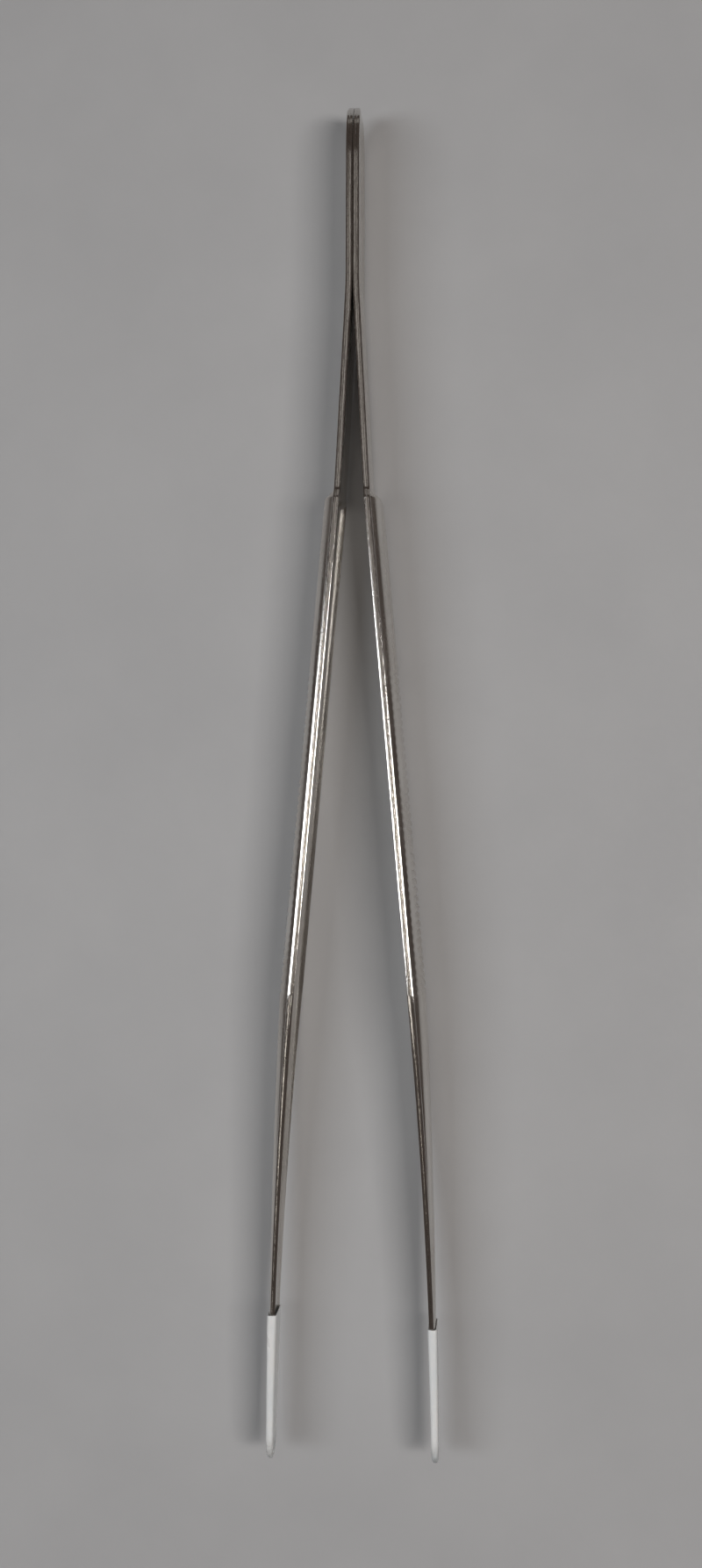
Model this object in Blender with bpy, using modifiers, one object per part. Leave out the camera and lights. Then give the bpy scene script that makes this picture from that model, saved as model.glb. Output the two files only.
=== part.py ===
"""Pinch tweezers lying on their side edges, at rest and open. Metres, +Z up.

Two pressed steel blades are welded together at the butt and bow apart towards the tips. Each
blade is one strip: a flat welded end, a flat narrow spring, a 45 degree shoulder, a wider grip
pressed into a shallow outward channel with cross grooves on its outer face, and a taper that
grows thinner and flatter down to a rounded tip inside a plastic sleeve.

X runs across the opening, Y along the tweezers with the butt at +Y, and the blades' width is
along Z. The origin is at the centre of the footprint. Places along a blade are stations, which
are distances from the butt's end. Each blade is split at the middle of its spring, where a
hinge stands in for the bending steel.
"""

import math

import bmesh
import bpy
import numpy as np
from mathutils import Vector

# Lengths along the blade
OVERALL_LENGTH = 0.160
BUTT_ROUNDING = 0.0060
WELD_LENGTH = 0.0195
WELD_BEND = 0.0040
SPRING_LENGTH = 0.0260
SHOULDER_LENGTH = 0.0011
SHOULDER_BEND = 0.0050
CHANNEL_RUN_IN = 0.0013
GRIP_LENGTH = 0.0580
TIP_ROUNDING = 0.0025
SLEEVE_NOSE = 0.0022
LEFT_SLEEVE_LENGTH = 0.0176
RIGHT_SLEEVE_LENGTH = 0.0164

# Widths, along Z
STRIP_WIDTH = 0.0086
GRIP_WIDTH = 0.0100
TIP_WIDTH = 0.0040
TAPER_EASE = 1.25

# Thicknesses and depths, along X
SHEET = 0.00078
TIP_SHEET = 0.00050
WELD_GAP = 0.00006
GRIP_CROWN = 0.00112
CHANNEL_SQUARENESS = 4

# Slope of each stretch away from the middle plane, in degrees
SPRING_SLOPE = 3.1
GRIP_SLOPE = 5.1
TIP_SLOPE = 1.0

# Cross grooves on the grip's outer face
GROOVE_LEAD = 0.0200
GROOVED_LENGTH = 0.0380
GROOVE_PITCH = 0.0010
GROOVE_DEPTH = 0.00028
GROOVE_FADE = 0.45

# Plastic sleeves
SLEEVE_WALL = 0.00019
SLEEVE_FIT = 0.00009
SLEEVE_CORNER = 0.00020

# Hinge that stands in for the bending spring
HINGE_SPLIT = 0.0003

# Faces
FACES_ACROSS = 12
CORNER_FACES = 4
ROUNDING_FACES = 7
SLEEVE_ROWS = 8
ROW_SPACING = 0.0040
BOW_STEPS = 640
SAME_PLACE = 0.000002

# Places along the blade that follow from the lengths
SHOULDER_START = WELD_LENGTH + SPRING_LENGTH
GRIP_START = SHOULDER_START + SHOULDER_LENGTH
GRIP_END = GRIP_START + GRIP_LENGTH
STEEL_END = OVERALL_LENGTH - SLEEVE_NOSE
HINGE = WELD_LENGTH + SPRING_LENGTH / 2
GROOVES = round(GROOVED_LENGTH / GROOVE_PITCH)
GROOVE_START = GRIP_START + GROOVE_LEAD
GROOVE_END = GROOVE_START + GROOVES * GROOVE_PITCH
MIDDLE = GRIP_WIDTH / 2

STEEL = {"colour": (0.66, 0.64, 0.61, 1.0), "metallic": 1.0, "roughness": 0.24}
PLASTIC = {"colour": (0.80, 0.81, 0.79, 1.0), "metallic": 0.0, "roughness": 0.42}


def ease(value):
    """0 to 1 with no corner at either end."""
    t = min(max(value, 0.0), 1.0)
    return t * t * (3.0 - 2.0 * t)


def bow_curve():
    """Stations and the blade's inner face at each, as a distance from the middle plane."""
    bends = (
        (0.0, 0.0),
        (WELD_LENGTH, 0.0),
        (WELD_LENGTH + WELD_BEND, SPRING_SLOPE),
        (SHOULDER_START - SHOULDER_BEND / 2, SPRING_SLOPE),
        (SHOULDER_START + SHOULDER_BEND / 2, GRIP_SLOPE),
        (GRIP_END, GRIP_SLOPE),
        (OVERALL_LENGTH, TIP_SLOPE),
    )
    places, slopes = zip(*bends)
    stations = np.linspace(0.0, OVERALL_LENGTH, BOW_STEPS + 1)
    rise = np.tan(np.radians(np.interp(stations, places, slopes)))
    steps = (rise[1:] + rise[:-1]) / 2 * np.diff(stations)
    return stations, WELD_GAP / 2 + np.concatenate(([0.0], np.cumsum(steps)))


BOW = bow_curve()


def inner_face(station):
    """Distance from the middle plane to the blade's inner face, at its rims."""
    return float(np.interp(station, *BOW))


def taper(station):
    """How far along the taper a station is: 0 at the grip's end and 1 at the steel's end."""
    return min(max((station - GRIP_END) / (STEEL_END - GRIP_END), 0.0), 1.0)


def full_width(station):
    """Blade width before its ends are rounded."""
    if station < GRIP_END:
        shoulder = min(max((station - SHOULDER_START) / SHOULDER_LENGTH, 0.0), 1.0)
        return STRIP_WIDTH + (GRIP_WIDTH - STRIP_WIDTH) * shoulder
    return TIP_WIDTH + (GRIP_WIDTH - TIP_WIDTH) * (1.0 - taper(station)) ** TAPER_EASE


def rounded(distance, length):
    """Share of the full width at this distance from a rounded end."""
    left = 1.0 - min(distance / length, 1.0)
    return math.sqrt(1.0 - left * left)


def half_width(station):
    ends = rounded(station, BUTT_ROUNDING) * rounded(STEEL_END - station, TIP_ROUNDING)
    return full_width(station) / 2 * ends


def sheet(station):
    return SHEET + (TIP_SHEET - SHEET) * taper(station)


def crown(station):
    """Depth of the pressed channel."""
    run_in = ease((station - SHOULDER_START) / CHANNEL_RUN_IN)
    return GRIP_CROWN * run_in * (1.0 - taper(station))


def groove(station, across):
    """Depth of the cross grooves, which fade out before the rims."""
    if not GROOVE_START < station < GROOVE_END:
        return 0.0
    phase = (station - GROOVE_START) / GROOVE_PITCH % 1.0
    vee = 1.0 - abs(2.0 * phase - 1.0)
    return GROOVE_DEPTH * vee * ease((1.0 - abs(across)) / GROOVE_FADE)


def blade_rows(first, last):
    """Stations of a blade's rows of faces, closer together where its shape changes."""
    rounding = 1.0 - np.cos(np.linspace(0.16, math.pi / 2, ROUNDING_FACES))
    plain = np.concatenate(
        (
            BUTT_ROUNDING * rounding,
            STEEL_END - TIP_ROUNDING * rounding,
            np.linspace(WELD_LENGTH, WELD_LENGTH + WELD_BEND, 4),
            SHOULDER_START + np.linspace(-0.5, 0.0, 3) * SHOULDER_BEND,
            np.linspace(SHOULDER_START, GRIP_START, 3),
            np.linspace(GRIP_START, SHOULDER_START + CHANNEL_RUN_IN, 3),
            np.arange(GRIP_START + ROW_SPACING, STEEL_END - TIP_ROUNDING, ROW_SPACING),
        )
    )
    plain = plain[(plain < GROOVE_START) | (plain > GROOVE_END)]
    vees = np.linspace(GROOVE_START, GROOVE_END, 2 * GROOVES + 1)
    inside = [s for s in np.concatenate((plain, vees)) if first < s < last]
    rows = [first]
    for station in sorted(inside):
        if station - rows[-1] > GROOVE_PITCH / 8 and last - station > GROOVE_PITCH / 8:
            rows.append(float(station))
    return rows + [last]


def sheet_grid(across, along):
    """A flat grid, with each vertex's share of the way across (-1 to 1) and its row."""
    shape = bmesh.new()
    bmesh.ops.create_grid(shape, x_segments=across, y_segments=along, size=1.0)
    places = {v: (v.co.x, round((v.co.y + 1.0) / 2.0 * along)) for v in shape.verts}
    return shape, places


def finish(shape, name, side, origin, look, collection, parent=None):
    """Turns the shape, modelled on the right side, into an object with its origin at a joint."""
    for vertex in shape.verts:
        vertex.co.x *= side
        vertex.co -= origin
    bmesh.ops.remove_doubles(shape, verts=shape.verts, dist=SAME_PLACE)
    bmesh.ops.recalc_face_normals(shape, faces=shape.faces)
    mesh = bpy.data.meshes.new(name)
    shape.to_mesh(mesh)
    shape.free()
    mesh.shade_smooth()
    mesh.set_sharp_from_angle(angle=math.radians(35))
    piece = bpy.data.objects.new(name, mesh)
    collection.objects.link(piece)
    mesh.materials.append(material(name, look))
    if parent is None:
        piece.location = origin
    else:
        piece.parent = parent
    return piece


def material(name, look):
    made = bpy.data.materials.new(f"{name}_finish")
    made.use_nodes = True
    shader = made.node_tree.nodes["Principled BSDF"]
    shader.inputs["Base Color"].default_value = look["colour"]
    shader.inputs["Metallic"].default_value = look["metallic"]
    shader.inputs["Roughness"].default_value = look["roughness"]
    return made


def along_y(station):
    return OVERALL_LENGTH / 2 - station


def blade(name, side, first, last, origin, collection):
    """A stretch of one blade: its inner face as a sheet, given its thickness outwards."""
    rows = blade_rows(first, last)
    shape, places = sheet_grid(FACES_ACROSS, len(rows) - 1)
    inner = list(shape.verts)
    raised = bmesh.ops.extrude_face_region(shape, geom=shape.faces[:] + shape.edges[:] + inner,
                                           use_keep_orig=True)
    outer = [v for v in raised["geom"] if isinstance(v, bmesh.types.BMVert)]
    for vertex in outer:
        row = round((vertex.co.y + 1.0) / 2.0 * (len(rows) - 1))
        places[vertex] = (vertex.co.x, row)
    outer = set(outer)
    for vertex, (across, row) in places.items():
        station = rows[row]
        half = half_width(station)
        x = inner_face(station) + crown(station) * (1.0 - abs(across) ** CHANNEL_SQUARENESS)
        if vertex in outer:
            x += sheet(station) - groove(station, across)
        vertex.co = (x, along_y(station), MIDDLE + across * half)
    return finish(shape, name, side, origin, STEEL, collection)


def sleeve_ring(number, depth, width):
    """Point of a round-cornered rectangle, as (x, z) from its centre."""
    corner, step = divmod(number, CORNER_FACES)
    turn = math.radians(90.0) * (corner + step / (CORNER_FACES - 1))
    radius = min(SLEEVE_CORNER, depth, width)
    reach_x = (depth - radius) * (1 if corner in (0, 3) else -1)
    reach_z = (width - radius) * (1 if corner in (0, 1) else -1)
    return reach_x + radius * math.cos(turn), reach_z + radius * math.sin(turn)


def sleeve(name, side, length, origin, collection, arm):
    """A sleeve closed at its nose: a rolled sheet round the blade's tip, thickened outwards."""
    start = OVERALL_LENGTH - length
    end = OVERALL_LENGTH - SLEEVE_WALL
    nose = 1.0 - np.cos(np.linspace(0.0, math.pi / 2, ROUNDING_FACES))
    straight = np.linspace(start, end - TIP_ROUNDING, SLEEVE_ROWS)
    rows = np.concatenate((straight, (end - TIP_ROUNDING * nose)[::-1][1:]))
    sides = 4 * CORNER_FACES
    shape, places = sheet_grid(sides, len(rows) - 1)
    for vertex, (across, row) in places.items():
        station = float(rows[row])
        number = round((across + 1.0) / 2.0 * sides) % sides
        blunt = rounded(end - station, TIP_ROUNDING)
        depth = (sheet(station) + crown(station)) / 2 + SLEEVE_FIT
        width = (full_width(station) / 2 + SLEEVE_FIT) * blunt
        centre = inner_face(station) + (sheet(station) + crown(station)) / 2
        x, z = sleeve_ring(number, depth * math.sqrt(blunt), width)
        vertex.co = (centre + x, along_y(station), MIDDLE + z)
    piece = finish(shape, name, side, origin, PLASTIC, collection, parent=arm)
    wall = piece.modifiers.new("wall", "SOLIDIFY")
    wall.thickness = SLEEVE_WALL
    wall.offset = 1.0
    wall.use_even_offset = True
    return piece


def clear_scene():
    for leftover in list(bpy.data.objects):
        bpy.data.objects.remove(leftover, do_unlink=True)


def main():
    clear_scene()
    parts = bpy.data.collections.new("pinch_tweezers")
    bpy.context.scene.collection.children.link(parts)
    half_sheet = SHEET / 2
    for hand, side, sleeve_length in (
        ("left", -1, LEFT_SLEEVE_LENGTH),
        ("right", 1, RIGHT_SLEEVE_LENGTH),
    ):
        butt = Vector((side * (WELD_GAP / 2 + half_sheet), along_y(0.0), MIDDLE))
        hinge = Vector((side * (inner_face(HINGE) + half_sheet), along_y(HINGE), MIDDLE))
        blade(f"{hand}_blade_butt", side, 0.0, HINGE - HINGE_SPLIT / 2, butt, parts)
        arm = blade(f"{hand}_blade_arm", side, HINGE + HINGE_SPLIT / 2, STEEL_END, hinge, parts)
        sleeve(f"{hand}_tip_sleeve", side, sleeve_length, hinge, parts, arm)


main()
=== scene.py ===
"""Pinch tweezers in plated steel with milky plastic tip sleeves, lying open on a pale floor.

The file is laid out as an add-on and run as a script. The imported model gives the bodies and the
box; the blades and sleeves shown here stand for its nodes. Metres, +Z up. X runs across the
opening and Y along the tweezers, with the welded butt at +Y. Places along a blade are stations,
which are distances from the butt's end.
"""

import math

import bmesh
import bpy
import numpy as np
from bpy.props import FloatProperty, FloatVectorProperty, IntProperty, PointerProperty
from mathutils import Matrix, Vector, noise


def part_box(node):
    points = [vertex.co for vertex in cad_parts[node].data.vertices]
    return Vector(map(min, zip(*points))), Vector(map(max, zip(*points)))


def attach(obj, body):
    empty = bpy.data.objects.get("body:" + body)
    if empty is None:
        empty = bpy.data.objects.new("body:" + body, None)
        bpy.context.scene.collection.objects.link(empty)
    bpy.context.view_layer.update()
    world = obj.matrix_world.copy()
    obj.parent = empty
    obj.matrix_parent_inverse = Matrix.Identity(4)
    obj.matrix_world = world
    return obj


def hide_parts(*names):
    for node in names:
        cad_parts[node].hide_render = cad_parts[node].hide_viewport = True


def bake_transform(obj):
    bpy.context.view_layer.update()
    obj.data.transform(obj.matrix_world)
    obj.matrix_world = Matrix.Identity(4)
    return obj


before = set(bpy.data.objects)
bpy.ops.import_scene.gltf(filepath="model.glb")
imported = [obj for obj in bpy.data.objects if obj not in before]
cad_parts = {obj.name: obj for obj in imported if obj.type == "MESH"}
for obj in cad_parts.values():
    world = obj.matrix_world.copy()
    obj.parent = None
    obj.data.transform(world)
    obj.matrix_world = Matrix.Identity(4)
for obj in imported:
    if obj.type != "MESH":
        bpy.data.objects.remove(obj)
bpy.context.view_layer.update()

bl_info = {
    "name": "Pinch tweezers",
    "version": (1, 0, 0),
    "blender": (4, 5, 0),
    "location": "3D View > Sidebar > Tweezers",
    "description": "Sprung steel tweezers with a cross-grooved grip and plastic tip sleeves",
    "category": "Add Mesh",
}

STRIP_LOW, STRIP_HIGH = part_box("right_blade_butt")
GRIP_LOW, GRIP_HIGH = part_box("right_blade_arm")
LENGTH = 0.160
BUTT_END = LENGTH / 2
MIDDLE = (GRIP_LOW.z + GRIP_HIGH.z) / 2
HANDS = {"left": -1, "right": 1}

BOW_STEPS = 640
BUTT_WORN_SHARE = 0.45
CROWN_TAPER = 1.5
END_ROWS = 12
SHOULDER_ROWS = 10
RUN_IN_ROWS = 6
SHOULDER_MARGIN = 0.0004
CLOSEST_ROWS = 0.00003
SAME_PLACE = 0.000002

ROLL_RUN_IN = 0.012
ROLL_RUN_OUT = 0.02
ROLL_WAVES = 900.0
ROLL_VARIES = 0.5

CORNER_TURNS = (30.0, 60.0, 90.0)
INNER_BAND_END = 0.42
CREASE_PLACE = 0.50
OUTER_BAND_START = 0.58
OUTER_BAND_LEAN = 0.3
# Faces between the points of an edge: two rounded corners, the three points between, and the join.
RIM_FACES = 2 * len(CORNER_TURNS) + 4
BLADE_SHARP = 36.0
SLEEVE_SHARP = 60.0
FLOOR_SHARP = 30.0

SLEEVE_ROWS = 36
SLEEVE_CORNER_FACES = 7
MOUTH_REACH = 0.0012
RIPPLE_ROUND = 2
RIPPLE_ALONG = 700
MOUTH_WAVES = 0.8
RIPPLE_APART = 7.0
MOUTH_APART = Vector((0.0, 11.0, 0.0))
MOUTH_SHIFT = Vector((0.0, 0.0, 3.0))
CLEAR_TIP = 0.0002
CLEAR_END = 0.0032

# Each light's place, the point that it faces, its width and height, its power and its tint.
LIGHTS = {
    "left_window": ((-0.35, -0.02, 0.55), (0.0, 0.0, 0.0), (0.16, 0.40), 1.45, (0.94, 0.97, 1.0)),
    "right_lamp": ((0.30, -0.02, 0.60), (0.0, 0.0, 0.0), (0.13, 0.30), 2.07, (1.0, 0.96, 0.93)),
    "ceiling": ((-0.08, 0.23, 1.0), (-0.08, 0.23, 0.0), (0.24, 0.42), 0.11, (1.0, 0.96, 0.92)),
    "ceiling_lamp": ((-0.08, -0.05, 1.0), (-0.08, -0.05, 0.0), (0.90, 0.14), 0.16, (1.0, 0.91, 0.79)),
    "ceiling_tube": ((-0.16, -0.33, 1.0), (-0.16, -0.33, 0.0), (0.12, 0.22), 0.16, (1.0, 0.95, 0.88)),
    "far_wall": ((0.0, 0.77, 0.22), (0.0, 0.034, 0.01), (0.30, 0.14), 0.02, (1.0, 0.97, 0.92)),
}


def length(name, description, default):
    return FloatProperty(name=name, description=description, default=default, unit="LENGTH",
                         precision=5)


def share(name, description, default):
    return FloatProperty(name=name, description=description, default=default, min=0.0, max=1.0)


def colour(name, description, default):
    return FloatVectorProperty(name=name, description=description, default=default,
                               subtype="COLOR", size=3, min=0.0, max=1.0)


def slope(name, description, degrees):
    return FloatProperty(name=name, description=description, default=math.radians(degrees),
                         subtype="ANGLE")


class BladeSizes(bpy.types.PropertyGroup):
    butt_rounding: length("Butt rounding", "Length of the rounded end of the butt", 0.0060)
    butt_wear: length("Butt wear", "Length over which the butt's end is worn thin", 0.0016)
    weld: length("Weld", "Length over which the two blades lie together", 0.0195)
    weld_bend: length("Weld bend", "Length of the bend where the blades part", 0.0040)
    spring: length("Spring", "Length of the flat spring", 0.0260)
    shoulder: length("Shoulder", "Length of the step from the spring to the grip", 0.0011)
    shoulder_bend: length("Shoulder bend", "Length of the bend at the shoulder", 0.0050)
    run_in: length("Run-in", "Length over which the channel reaches its depth", 0.0013)
    grip: length("Grip", "Length of the parallel grip", 0.0580)
    tip_rounding: length("Tip rounding", "Length of the rounded tip", 0.0025)
    nose: length("Nose", "How far the sleeves reach past the steel", 0.0022)
    tip_width: length("Tip width", "Width of the blade at its tip", 0.0032)
    taper_ease: FloatProperty(name="Taper", description="Power of the taper's curve", default=1.25)
    sheet: length("Sheet", "Thickness of the steel", 0.00078)
    tip_sheet: length("Tip sheet", "Thickness of the steel at the tip", 0.00050)
    weld_gap: length("Weld gap", "Gap between the blades at the butt", 0.00003)
    crown: length("Crown", "Depth of the pressed channel", 0.00112)
    squareness: FloatProperty(name="Squareness", description="Power of the channel's curve", default=7.0)
    spring_slope: slope("Spring slope", "Lean of the spring away from the middle", 3.1)
    grip_slope: slope("Grip slope", "Lean of the grip away from the middle", 5.1)
    tip_slope: slope("Tip slope", "Lean of the tip away from the middle", 1.0)
    groove_lead: length("Groove lead", "Plain length of grip before the first groove", 0.0200)
    groove_pitch: length("Groove pitch", "Distance from one cross groove to the next", 0.0010)
    groove_depth: length("Groove depth", "Depth of the cross grooves", 0.00022)
    grooves: IntProperty(name="Grooves", description="Number of cross grooves", default=38)
    groove_mouth: share("Groove mouth", "Share of the pitch that the groove takes up", 0.62)
    groove_fade: share("Groove fade", "Share of the half width over which grooves fade", 0.42)
    edge_radius: length("Edge radius", "Rounding of the sheared edges", 0.00011)
    edge_crease: length("Edge crease", "Depth of the crease between the two bands of an edge", 0.00007)
    edge_roll: length("Edge roll", "Drop of the sheared edge's inner corner on the tapering blades", 0.00004)
    row_spacing: length("Row spacing", "Longest face along the blade", 0.0008)
    faces_across: IntProperty(name="Faces across", description="Faces across one side", default=28)


class SteelLook(bpy.types.PropertyGroup):
    plate: colour("Plate", "Colour of the nickel plate", (0.74, 0.715, 0.68))
    tarnish: colour("Tarnish", "Colour of the duller patches", (0.60, 0.565, 0.52))
    edge: colour("Edge", "Colour of the sheared edges", (0.70, 0.68, 0.65))
    pit: colour("Pit", "Colour of the pits in the sheared edges", (0.20, 0.18, 0.16))


class SleeveSizes(bpy.types.PropertyGroup):
    left: length("Left sleeve", "Length of the left sleeve", 0.0176)
    right: length("Right sleeve", "Length of the right sleeve", 0.0164)
    wall: length("Wall", "Thickness of the sleeve", 0.00019)
    fit: length("Fit", "Gap round the steel", 0.00003)
    corner: length("Corner", "Corner radius of the sleeve's inside", 0.00020)
    ripple: length("Ripple", "Unevenness of the sleeve's wall", 0.00003)
    ragged: length("Ragged mouth", "Unevenness of the sleeve's mouth", 0.00008)
    milk: colour("Milk", "Colour of the plastic", (0.90, 0.91, 0.90))


class StageSettings(bpy.types.PropertyGroup):
    camera_place: FloatVectorProperty(name="Camera", description="Place of the camera",
                                      default=(0.01734, 0.00014, 0.22), unit="LENGTH", size=3)
    camera_lean: slope("Camera lean", "Sideways lean of the camera from straight down", 4.71)
    camera_roll: slope("Camera roll", "Turn of the camera about its own axis", 0.12)
    lens: FloatProperty(name="Lens", description="Focal length", default=41.8, subtype="DISTANCE_CAMERA")
    floor_side: length("Floor side", "Side of the square floor", 3.0)
    floor_pale: colour("Floor", "Main colour of the floor", (0.425, 0.427, 0.432))
    floor_deep: colour("Floor shade", "Colour of the floor's faint mottling", (0.40, 0.402, 0.408))
    room: colour("Room", "Colour of the unlit room", (0.056, 0.045, 0.040))


def ease(value):
    """0 to 1 with no corner at either end."""
    t = min(max(value, 0.0), 1.0)
    return t * t * (3.0 - 2.0 * t)


class Strip:
    """The shape that both blades share, read from their sizes."""

    def __init__(self, sizes):
        self.sizes = sizes
        self.strip_width = STRIP_HIGH.z - STRIP_LOW.z
        self.grip_width = GRIP_HIGH.z - GRIP_LOW.z
        self.shoulder_start = sizes.weld + sizes.spring
        self.grip_start = self.shoulder_start + sizes.shoulder
        self.grip_end = self.grip_start + sizes.grip
        self.steel_end = LENGTH - sizes.nose
        self.groove_start = self.grip_start + sizes.groove_lead
        self.groove_end = self.groove_start + sizes.grooves * sizes.groove_pitch
        bends = (
            (0.0, 0.0),
            (sizes.weld, 0.0),
            (sizes.weld + sizes.weld_bend, sizes.spring_slope),
            (self.shoulder_start - sizes.shoulder_bend / 2, sizes.spring_slope),
            (self.shoulder_start + sizes.shoulder_bend / 2, sizes.grip_slope),
            (self.grip_end, sizes.grip_slope),
            (LENGTH, sizes.tip_slope),
        )
        places, slopes = zip(*bends)
        self.stations = np.linspace(0.0, LENGTH, BOW_STEPS + 1)
        rise = np.tan(np.interp(self.stations, places, slopes))
        steps = (rise[1:] + rise[:-1]) / 2 * np.diff(self.stations)
        self.bow = sizes.weld_gap / 2 + np.concatenate(([0.0], np.cumsum(steps)))

    def inner_face(self, station):
        return float(np.interp(station, self.stations, self.bow))

    def taper(self, station):
        return min(max((station - self.grip_end) / (self.steel_end - self.grip_end), 0.0), 1.0)

    def full_width(self, station):
        if station < self.grip_end:
            step = min(max((station - self.shoulder_start) / self.sizes.shoulder, 0.0), 1.0)
            return self.strip_width + (self.grip_width - self.strip_width) * step
        left = (1.0 - self.taper(station)) ** self.sizes.taper_ease
        return self.sizes.tip_width + (self.grip_width - self.sizes.tip_width) * left

    def half_width(self, station):
        butt = rounded(station, self.sizes.butt_rounding)
        tip = rounded(self.steel_end - station, self.sizes.tip_rounding)
        return self.full_width(station) / 2 * butt * tip

    def sheet(self, station):
        worn = BUTT_WORN_SHARE + (1.0 - BUTT_WORN_SHARE) * rounded(station, self.sizes.butt_wear)
        return worn * (self.sizes.sheet + (self.sizes.tip_sheet - self.sizes.sheet) * self.taper(station))

    def crown(self, station):
        run_in = ease((station - self.shoulder_start) / self.sizes.run_in)
        return self.sizes.crown * run_in * (1.0 - self.taper(station)) ** CROWN_TAPER

    def groove(self, station, across):
        if not self.groove_start < station < self.groove_end:
            return 0.0
        phase = (station - self.groove_start) / self.sizes.groove_pitch % 1.0
        vee = max(0.0, 1.0 - abs(2.0 * phase - 1.0) / self.sizes.groove_mouth)
        return self.sizes.groove_depth * vee * ease((1.0 - abs(across)) / self.sizes.groove_fade)

    def rows(self):
        """Stations of the rows of faces, close together at the ends, shoulder and grooves."""
        sizes = self.sizes
        ends = 1.0 - np.cos(np.linspace(0.0, math.pi / 2, END_ROWS))
        mouth = sizes.groove_mouth / 2
        phases = (0.0, 0.5 - mouth, 0.5 - mouth / 2, 0.5, 0.5 + mouth / 2, 0.5 + mouth)
        starts = self.groove_start + sizes.groove_pitch * np.arange(sizes.grooves)
        grooves = (starts[:, None] + sizes.groove_pitch * np.array(phases)).ravel()
        plain = np.concatenate((
            sizes.butt_rounding * ends,
            self.steel_end - sizes.tip_rounding * ends,
            np.linspace(self.shoulder_start - SHOULDER_MARGIN, self.grip_start + SHOULDER_MARGIN,
                        SHOULDER_ROWS),
            np.linspace(self.grip_start, self.shoulder_start + sizes.run_in, RUN_IN_ROWS),
            np.arange(sizes.butt_rounding, self.steel_end - sizes.tip_rounding, sizes.row_spacing),
        ))
        plain = plain[(plain < self.groove_start) | (plain > self.groove_end)]
        rows = [0.0]
        for station in sorted(np.concatenate((plain, grooves, [self.steel_end]))):
            if station - rows[-1] > CLOSEST_ROWS:
                rows.append(float(station))
        rows[-1] = self.steel_end
        return rows

    def roll(self, station):
        """Drop of the edges' inner corner, which comes and goes along the tapering blade."""
        run_in = ease((station - self.grip_end) / ROLL_RUN_IN)
        run_out = ease((self.steel_end - station) / ROLL_RUN_OUT)
        change = ROLL_VARIES * noise.noise(Vector((station * ROLL_WAVES, 0.0, 0.0)))
        return self.sizes.edge_roll * run_in * run_out * (1.0 + change)

    def section(self, half, thick, roll):
        """Points round a cut through the blade, as (distance across, depth from the inner face)."""
        sizes = self.sizes
        radius = min(sizes.edge_radius, half / 2, thick / 3)
        flat = half - radius
        turns = np.radians(CORNER_TURNS)
        crease = min(sizes.edge_crease, half / 4)
        lean = crease * OUTER_BAND_LEAN
        roll = min(roll, half / 4)
        rim = [(flat - roll + radius * math.sin(t), radius - radius * math.cos(t)) for t in turns]
        rim += [(half, INNER_BAND_END * thick), (half - crease, CREASE_PLACE * thick),
                (half - crease / 5, OUTER_BAND_START * thick)]
        rim += [(half - lean - radius + radius * math.cos(t - turns[0]),
                 thick - radius + radius * math.sin(t - turns[0])) for t in turns]
        spread = np.sin(np.linspace(-math.pi / 2, math.pi / 2, sizes.faces_across + 1))
        inner = [(across, 0.0) for across in (flat - roll) * spread]
        outer = [(across, thick) for across in flat * spread[::-1]]
        far_rim = [(-across, depth) for across, depth in rim[::-1]]
        return inner + rim + outer + far_rim

    def rim_columns(self):
        """Numbers of the columns of faces that make the two sheared edges."""
        count = self.sizes.faces_across
        first = range(count, count + RIM_FACES)
        second = range(2 * count + RIM_FACES, 2 * (count + RIM_FACES))
        return set(first) | set(second)


def rounded(distance, reach):
    """Share of the full width at this distance from a rounded end."""
    left = 1.0 - min(max(distance, 0.0) / reach, 1.0)
    return math.sqrt(1.0 - left * left)


def along_y(station):
    return BUTT_END - station


def rolled_sheet(around, along):
    """A flat grid to be rolled into a tube, with each vertex's column and row."""
    shape = bmesh.new()
    bmesh.ops.create_grid(shape, x_segments=around, y_segments=along, size=1.0)
    places = {}
    for vertex in shape.verts:
        column = round((vertex.co.x + 1.0) / 2.0 * around)
        places[vertex] = (column, round((vertex.co.y + 1.0) / 2.0 * along))
    return shape, places


def finished(shape, name, materials, sharp):
    """Makes the shape an object whose place is in its mesh."""
    bmesh.ops.remove_doubles(shape, verts=shape.verts, dist=SAME_PLACE)
    bmesh.ops.recalc_face_normals(shape, faces=shape.faces)
    mesh = bpy.data.meshes.new(name)
    shape.to_mesh(mesh)
    shape.free()
    mesh.shade_smooth()
    mesh.set_sharp_from_angle(angle=math.radians(sharp))
    for made in materials:
        mesh.materials.append(made)
    piece = bpy.data.objects.new(name, mesh)
    bpy.context.scene.collection.objects.link(piece)
    return piece


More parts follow.
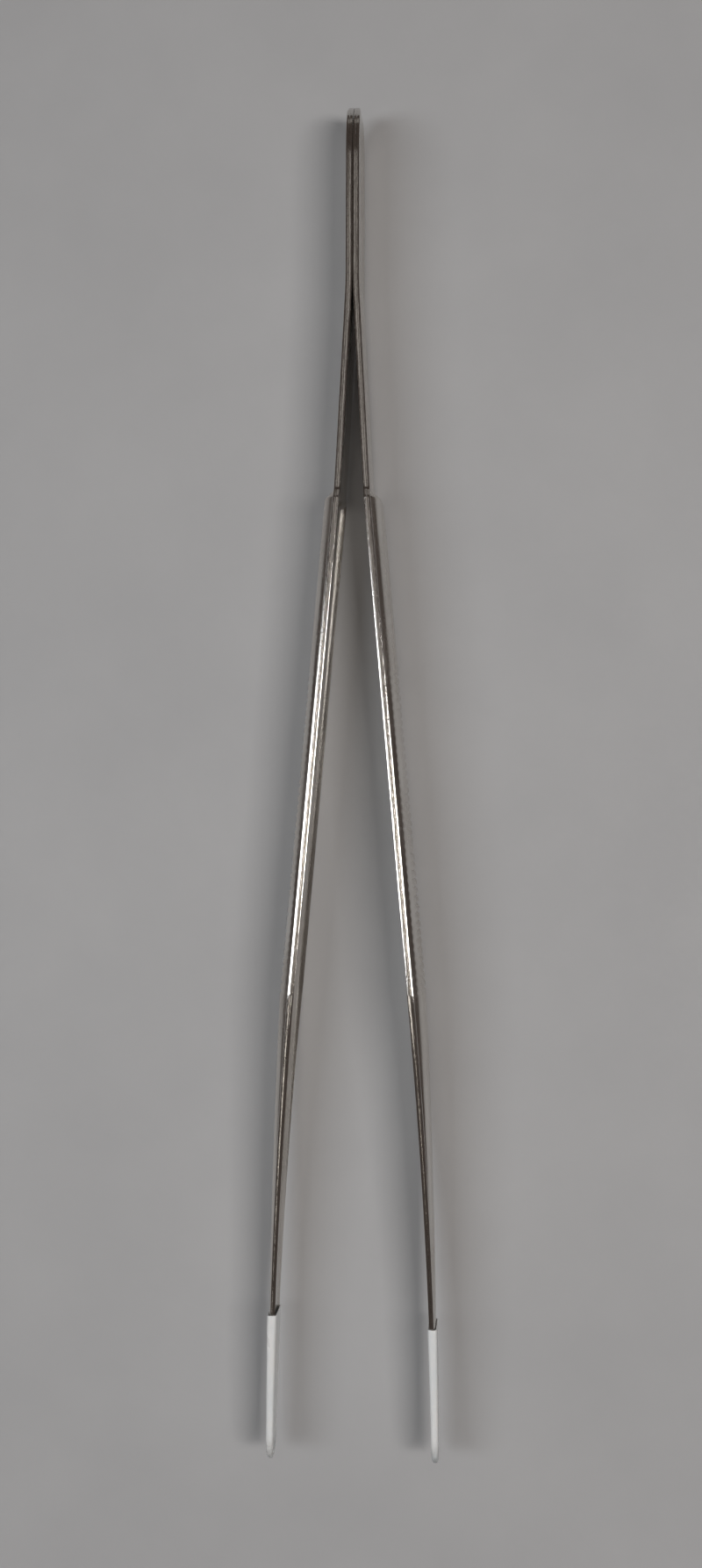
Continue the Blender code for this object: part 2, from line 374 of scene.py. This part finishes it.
def make_blade(hand, strip, materials):
    """One blade from butt to tip: its section swept along the bow, rolled from one sheet."""
    side = HANDS[hand]
    rows = strip.rows()
    around = len(strip.section(strip.half_width(strip.grip_start), strip.sizes.sheet, 0.0))
    shape, places = rolled_sheet(around, len(rows) - 1)
    rim_columns = strip.rim_columns()
    for face in shape.faces:
        column = math.floor((face.calc_center_median().x + 1.0) / 2.0 * around)
        face.material_index = 1 if column in rim_columns else 0
    sections = [strip.section(strip.half_width(s), strip.sheet(s), strip.roll(s)) for s in rows]
    for vertex, (column, row) in places.items():
        station = rows[row]
        half = max(strip.half_width(station), 1e-9)
        across, depth = sections[row][column % around]
        share_across = max(-1.0, min(1.0, across / max(half - strip.sizes.edge_radius, half / 2)))
        cut = strip.groove(station, share_across) * depth / strip.sheet(station)
        bulge = strip.crown(station) * (1.0 - abs(share_across) ** strip.sizes.squareness)
        x = strip.inner_face(station) + bulge + depth - cut
        vertex.co = (side * x, along_y(station), MIDDLE + across)
    piece = finished(shape, f"{hand}_blade", materials, BLADE_SHARP)
    flats = piece.modifiers.new("flat_bands", "WEIGHTED_NORMAL")
    flats.keep_sharp = True
    return piece


def sleeve_ring(turn, depth, width, corner):
    """Point of a round-cornered rectangle at this share of the way round it."""
    radius = min(corner, depth, width)
    quarter, step = divmod(turn * 4.0, 1.0)
    angle = math.radians(90.0) * (quarter + step)
    reach_x = (depth - radius) * (1 if quarter in (0, 3) else -1)
    reach_z = (width - radius) * (1 if quarter in (0, 1) else -1)
    return reach_x + radius * math.cos(angle), reach_z + radius * math.sin(angle)


def make_sleeve(hand, strip, sizes, materials):
    """A soft sleeve, closed at its nose, with an uneven wall and a ragged mouth."""
    side = HANDS[hand]
    start = LENGTH - (sizes.left if hand == "left" else sizes.right)
    end = LENGTH - sizes.wall
    reach = strip.sizes.tip_rounding
    nose = end - reach * (1.0 - np.cos(np.linspace(0.0, math.pi / 2, END_ROWS)))[::-1]
    rows = np.concatenate((np.linspace(start, end - reach, SLEEVE_ROWS)[:-1], nose))
    around = 4 * SLEEVE_CORNER_FACES
    shape, places = rolled_sheet(around, len(rows) - 1)
    for vertex, (column, row) in places.items():
        station = float(rows[row])
        turn = column % around / around
        blunt = rounded(end - station, reach)
        depth = (strip.sheet(station) + strip.crown(station)) / 2 + sizes.fit
        width = (strip.full_width(station) / 2 + sizes.fit) * blunt
        centre = strip.inner_face(station) + depth - sizes.fit
        x, z = sleeve_ring(turn, depth * math.sqrt(blunt), width, sizes.corner)
        place = Vector((math.cos(math.tau * turn) * RIPPLE_ROUND, math.sin(math.tau * turn) * RIPPLE_ROUND,
                        station * RIPPLE_ALONG))
        ripple = noise.noise(place + Vector((side * RIPPLE_APART, 0.0, 0.0)))
        swell = sizes.ripple * (0.5 + 0.5 * ripple) * blunt
        reach_out = math.hypot(x, z) or 1.0
        x += swell * x / reach_out
        z += swell * z / reach_out
        mouth = max(0.0, 1.0 - (station - start) / MOUTH_REACH)
        ragged = sizes.ragged * mouth * noise.noise(place * MOUTH_WAVES + side * MOUTH_APART + MOUTH_SHIFT)
        vertex.co = (side * (centre + x), along_y(station + abs(ragged)), MIDDLE + z)
    piece = finished(shape, f"{hand}_sleeve", materials, SLEEVE_SHARP)
    wall = piece.modifiers.new("wall", "SOLIDIFY")
    wall.thickness = sizes.wall - sizes.ripple
    wall.offset = 1.0
    wall.use_even_offset = True
    soften = piece.modifiers.new("soften", "SUBSURF")
    soften.levels = 1
    soften.render_levels = 1
    return piece


class Nodes:
    """Short calls for laying out a material's nodes."""

    def __init__(self, name):
        self.made = bpy.data.materials.new(name)
        self.made.use_nodes = True
        self.tree = self.made.node_tree
        self.shader = self.tree.nodes["Principled BSDF"]
        self.place = self.tree.nodes.new("ShaderNodeTexCoord").outputs["Object"]

    def link(self, output, target):
        self.tree.links.new(output, target)

    def mapped(self, scale, turn=(0.0, 0.0, 0.0)):
        node = self.tree.nodes.new("ShaderNodeMapping")
        node.inputs["Scale"].default_value = scale
        node.inputs["Rotation"].default_value = turn
        self.link(self.place, node.inputs["Vector"])
        return node.outputs["Vector"]

    def noise(self, where, detail=4.0, rough=0.55, warp=0.0):
        node = self.tree.nodes.new("ShaderNodeTexNoise")
        node.inputs["Scale"].default_value = 1.0
        node.inputs["Detail"].default_value = detail
        node.inputs["Roughness"].default_value = rough
        node.inputs["Distortion"].default_value = warp
        self.link(where, node.inputs["Vector"])
        return node.outputs["Fac"]

    def cells(self, where):
        node = self.tree.nodes.new("ShaderNodeTexVoronoi")
        node.inputs["Scale"].default_value = 1.0
        self.link(where, node.inputs["Vector"])
        return node.outputs["Distance"]

    def spread(self, value, low, high, to_low, to_high):
        node = self.tree.nodes.new("ShaderNodeMapRange")
        for name, number in (("From Min", low), ("From Max", high), ("To Min", to_low), ("To Max", to_high)):
            node.inputs[name].default_value = number
        self.link(value, node.inputs["Value"])
        return node.outputs["Result"]

    def math(self, operation, first, second):
        node = self.tree.nodes.new("ShaderNodeMath")
        node.operation = operation
        self.link(first, node.inputs[0])
        if isinstance(second, float):
            node.inputs[1].default_value = second
        else:
            self.link(second, node.inputs[1])
        return node.outputs["Value"]

    def blend(self, factor, first, second):
        node = self.tree.nodes.new("ShaderNodeMix")
        node.data_type = "RGBA"
        self.link(factor, node.inputs["Factor"])
        node.inputs["A"].default_value = (*first, 1.0)
        node.inputs["B"].default_value = (*second, 1.0)
        return node.outputs["Result"]

    def bump(self, height, strength, distance, after=None):
        node = self.tree.nodes.new("ShaderNodeBump")
        node.inputs["Strength"].default_value = strength
        node.inputs["Distance"].default_value = distance
        self.link(height, node.inputs["Height"])
        if after is not None:
            self.link(after, node.inputs["Normal"])
        return node.outputs["Normal"]


def plated_face(look):
    """Polished nickel plate with a fine lengthwise grain, handling marks and dull patches."""
    steel = Nodes("plated_steel_face")
    steel.shader.inputs["Metallic"].default_value = 1.0
    grain = steel.noise(steel.mapped((9000.0, 260.0, 9000.0)), detail=5.0, rough=0.65)
    hairs = steel.noise(steel.mapped((2600.0, 90.0, 2600.0), (0.05, 0.0, 0.09)), detail=3.0)
    patches = steel.noise(steel.mapped((160.0, 70.0, 160.0)), detail=5.0, warp=0.6)
    dull = steel.spread(patches, 0.40, 0.72, 0.0, 1.0)
    steel.link(steel.blend(dull, look.plate, look.tarnish), steel.shader.inputs["Base Color"])
    rough = steel.spread(grain, 0.3, 0.7, 0.13, 0.22)
    worn = steel.math("MULTIPLY", dull, 0.16)
    steel.link(steel.math("ADD", rough, worn), steel.shader.inputs["Roughness"])
    relief = steel.bump(grain, 0.10, 0.00002)
    relief = steel.bump(hairs, 0.12, 0.00004, relief)
    steel.link(relief, steel.shader.inputs["Normal"])
    return steel.made


def sheared_edge(look):
    """The strip's cut edges: plated over shear marks, with small dark pits."""
    steel = Nodes("plated_steel_edge")
    steel.shader.inputs["Metallic"].default_value = 1.0
    marks = steel.noise(steel.mapped((4200.0, 1700.0, 4200.0)), detail=6.0, rough=0.7, warp=0.3)
    long_marks = steel.noise(steel.mapped((5200.0, 240.0, 5200.0)), detail=4.0)
    pits = steel.spread(steel.cells(steel.mapped((5200.0, 2400.0, 5200.0))), 0.10, 0.26, 1.0, 0.0)
    deep = steel.math("MULTIPLY", pits, steel.spread(marks, 0.48, 0.62, 0.0, 0.9))
    steel.link(steel.blend(deep, look.edge, look.pit), steel.shader.inputs["Base Color"])
    steel.link(steel.spread(marks, 0.3, 0.7, 0.06, 0.15), steel.shader.inputs["Roughness"])
    relief = steel.bump(marks, 0.34, 0.00003)
    relief = steel.bump(long_marks, 0.35, 0.00003, relief)
    steel.link(relief, steel.shader.inputs["Normal"])
    return steel.made


def milky_plastic(sizes):
    """Soft, slightly see-through plastic with cloudy thickness and faint drawn lines."""
    plastic = Nodes("milky_plastic")
    apart = plastic.tree.nodes.new("ShaderNodeSeparateXYZ")
    plastic.link(plastic.place, apart.inputs["Vector"])
    clear = plastic.spread(apart.outputs["Y"], CLEAR_TIP - BUTT_END, CLEAR_END - BUTT_END, 0.70, 0.10)
    plastic.link(clear, plastic.shader.inputs["Transmission Weight"])
    plastic.shader.inputs["Subsurface Weight"].default_value = 0.25
    plastic.shader.inputs["Subsurface Radius"].default_value = (0.0003, 0.0003, 0.0003)
    plastic.shader.inputs["Subsurface Scale"].default_value = 1.0
    plastic.shader.inputs["IOR"].default_value = 1.46
    cloud = plastic.noise(plastic.mapped((500.0, 220.0, 500.0)), detail=5.0)
    lines = plastic.noise(plastic.mapped((4200.0, 320.0, 4200.0)), detail=3.0)
    cool = tuple(part * shade for part, shade in zip(sizes.milk, (0.88, 0.92, 0.95)))
    plastic.link(plastic.blend(plastic.spread(cloud, 0.35, 0.65, 0.0, 1.0), sizes.milk, cool),
                 plastic.shader.inputs["Base Color"])
    plastic.link(plastic.spread(cloud, 0.3, 0.7, 0.26, 0.44), plastic.shader.inputs["Roughness"])
    relief = plastic.bump(lines, 0.15, 0.00004)
    relief = plastic.bump(cloud, 0.25, 0.00012, relief)
    plastic.link(relief, plastic.shader.inputs["Normal"])
    return plastic.made


def pale_floor(settings):
    """A matt, faintly mottled table top."""
    floor = Nodes("pale_floor")
    floor.shader.inputs["Specular IOR Level"].default_value = 0.3
    mottle = floor.noise(floor.mapped((38.0, 38.0, 38.0)), detail=8.0, rough=0.6)
    speck = floor.noise(floor.mapped((1400.0, 1400.0, 1400.0)), detail=3.0)
    shade = floor.spread(mottle, 0.35, 0.65, 0.0, 1.0)
    floor.link(floor.blend(shade, settings.floor_pale, settings.floor_deep),
               floor.shader.inputs["Base Color"])
    floor.link(floor.spread(speck, 0.3, 0.7, 0.48, 0.62), floor.shader.inputs["Roughness"])
    floor.link(floor.bump(speck, 0.15, 0.00004), floor.shader.inputs["Normal"])
    return floor.made


class TWEEZERS_OT_blades(bpy.types.Operator):
    """Makes the two steel blades, each one piece whose shape bends between the butt and the arms"""

    bl_idname = "tweezers.blades"
    bl_label = "Blades"

    def execute(self, context):
        strip = Strip(context.scene.tweezers_blades)
        look = context.scene.tweezers_steel
        materials = (plated_face(look), sheared_edge(look))
        for hand in HANDS:
            blade = make_blade(hand, strip, materials)
            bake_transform(blade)
            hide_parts(f"{hand}_blade_butt", f"{hand}_blade_arm")
        return {"FINISHED"}


class TWEEZERS_OT_sleeves(bpy.types.Operator):
    """Makes the two plastic sleeves, which ride on the arms"""

    bl_idname = "tweezers.sleeves"
    bl_label = "Tip sleeves"

    def execute(self, context):
        strip = Strip(context.scene.tweezers_blades)
        sizes = context.scene.tweezers_sleeves
        materials = (milky_plastic(sizes),)
        for hand in HANDS:
            sleeve = make_sleeve(hand, strip, sizes, materials)
            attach(sleeve, f"{hand}_arm")
            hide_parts(f"{hand}_tip_sleeve")
        return {"FINISHED"}


def add_light(name, place, target, size, power, tint):
    """A rectangular light that faces its target."""
    light = bpy.data.lights.new(name, "AREA")
    light.shape = "RECTANGLE"
    light.size, light.size_y = size
    light.energy = power
    light.color = tint
    lamp = bpy.data.objects.new(name, light)
    lamp.location = place
    lamp.rotation_euler = (Vector(target) - Vector(place)).to_track_quat("-Z", "Y").to_euler()
    bpy.context.scene.collection.objects.link(lamp)


class TWEEZERS_OT_stage(bpy.types.Operator):
    """Makes the pale floor, the soft lights, the room and the camera"""

    bl_idname = "tweezers.stage"
    bl_label = "Stage"

    def execute(self, context):
        settings = context.scene.tweezers_stage
        shape = bmesh.new()
        bmesh.ops.create_grid(shape, x_segments=8, y_segments=8, size=settings.floor_side / 2)
        floor = finished(shape, "floor", (pale_floor(settings),), FLOOR_SHARP)
        for name, (place, target, size, power, tint) in LIGHTS.items():
            add_light(name, place, target, size, power, tint)
        world = bpy.data.worlds.new("room")
        world.use_nodes = True
        world.node_tree.nodes["Background"].inputs["Color"].default_value = (*settings.room, 1.0)
        context.scene.world = world
        context.scene.view_settings.view_transform = "Standard"
        lens = bpy.data.cameras.new("camera")
        lens.lens = settings.lens
        lens.clip_start = 0.01
        camera = bpy.data.objects.new("camera", lens)
        camera.location = settings.camera_place
        camera.rotation_euler = (0.0, settings.camera_lean, settings.camera_roll)
        context.scene.collection.objects.link(camera)
        context.scene.camera = camera
        return {"FINISHED"}


class TWEEZERS_PT_sidebar(bpy.types.Panel):
    """Lists the pieces of the tweezers"""

    bl_idname = "TWEEZERS_PT_sidebar"
    bl_label = "Pinch tweezers"
    bl_space_type = "VIEW_3D"
    bl_region_type = "UI"
    bl_category = "Tweezers"

    def draw(self, context):
        for group, operator in (
            (context.scene.tweezers_blades, TWEEZERS_OT_blades),
            (context.scene.tweezers_steel, None),
            (context.scene.tweezers_sleeves, TWEEZERS_OT_sleeves),
            (context.scene.tweezers_stage, TWEEZERS_OT_stage),
        ):
            column = self.layout.column(align=True)
            for name in group.bl_rna.properties.keys():
                if name not in {"rna_type", "name"}:
                    column.prop(group, name)
            if operator:
                column.operator(operator.bl_idname)


GROUPS = {
    "tweezers_blades": BladeSizes,
    "tweezers_steel": SteelLook,
    "tweezers_sleeves": SleeveSizes,
    "tweezers_stage": StageSettings,
}
CLASSES = (
    *GROUPS.values(),
    TWEEZERS_OT_blades,
    TWEEZERS_OT_sleeves,
    TWEEZERS_OT_stage,
    TWEEZERS_PT_sidebar,
)


def register():
    for made in CLASSES:
        bpy.utils.register_class(made)
    for name, group in GROUPS.items():
        setattr(bpy.types.Scene, name, PointerProperty(type=group))


def unregister():
    for name in GROUPS:
        delattr(bpy.types.Scene, name)
    for made in reversed(CLASSES):
        bpy.utils.unregister_class(made)


def main():
    register()
    bpy.ops.tweezers.blades()
    bpy.ops.tweezers.sleeves()
    bpy.ops.tweezers.stage()


if __name__ == "__main__":
    main()
